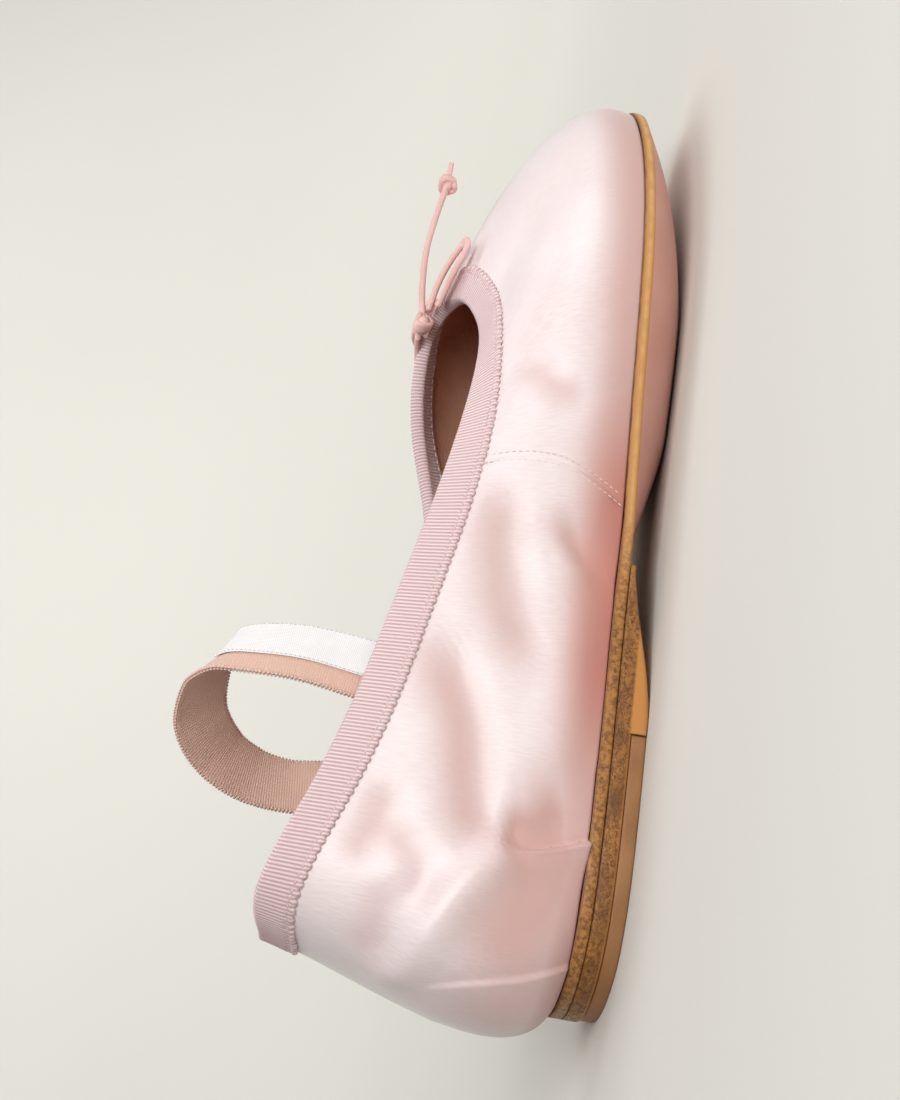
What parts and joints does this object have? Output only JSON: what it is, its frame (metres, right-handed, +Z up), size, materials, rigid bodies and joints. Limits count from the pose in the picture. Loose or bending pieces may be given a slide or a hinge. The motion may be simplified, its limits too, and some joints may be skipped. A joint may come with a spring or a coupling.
{
  "type": "ballet flat",
  "caption": "Soft satin ballet flat for the right foot with a ribbon-bound collar, slack elastic instep strap, lace bow and thin leather sole on a low stacked heel.",
  "frame": {"origin": "on the floor, under the heel lift", "axes": "+X to the toe, +Y to the inner side of the foot, +Z up"},
  "size_m": [0.2417, 0.0795, 0.1007],
  "materials": {
    "satin": "glossy pale pink satin",
    "ribbon": "ribbed grosgrain",
    "sole_leather": "smooth, nude underside with a tan edge",
    "stack_leather": "mottled, burnished",
    "lift_rubber": "matte",
    "lining_leather": "matte",
    "elastic": "fine knit",
    "white_weave": "woven, blank",
    "lace_leather": "soft, stitched"
  },
  "bodies": {
    "root": {"outsole": "sole_leather", "heel_stack": "stack_leather", "heel_lift": "lift_rubber", "insole": "lining_leather", "upper": "satin", "collar_binding": "ribbon", "instep_strap": "elastic", "strap_label": "white_weave", "bow_knot": "lace_leather", "bow_loop_outer": "lace_leather", "bow_loop_inner": "lace_leather", "bow_end_outer": "lace_leather", "bow_end_inner": "lace_leather"}
  },
  "joints": []
}
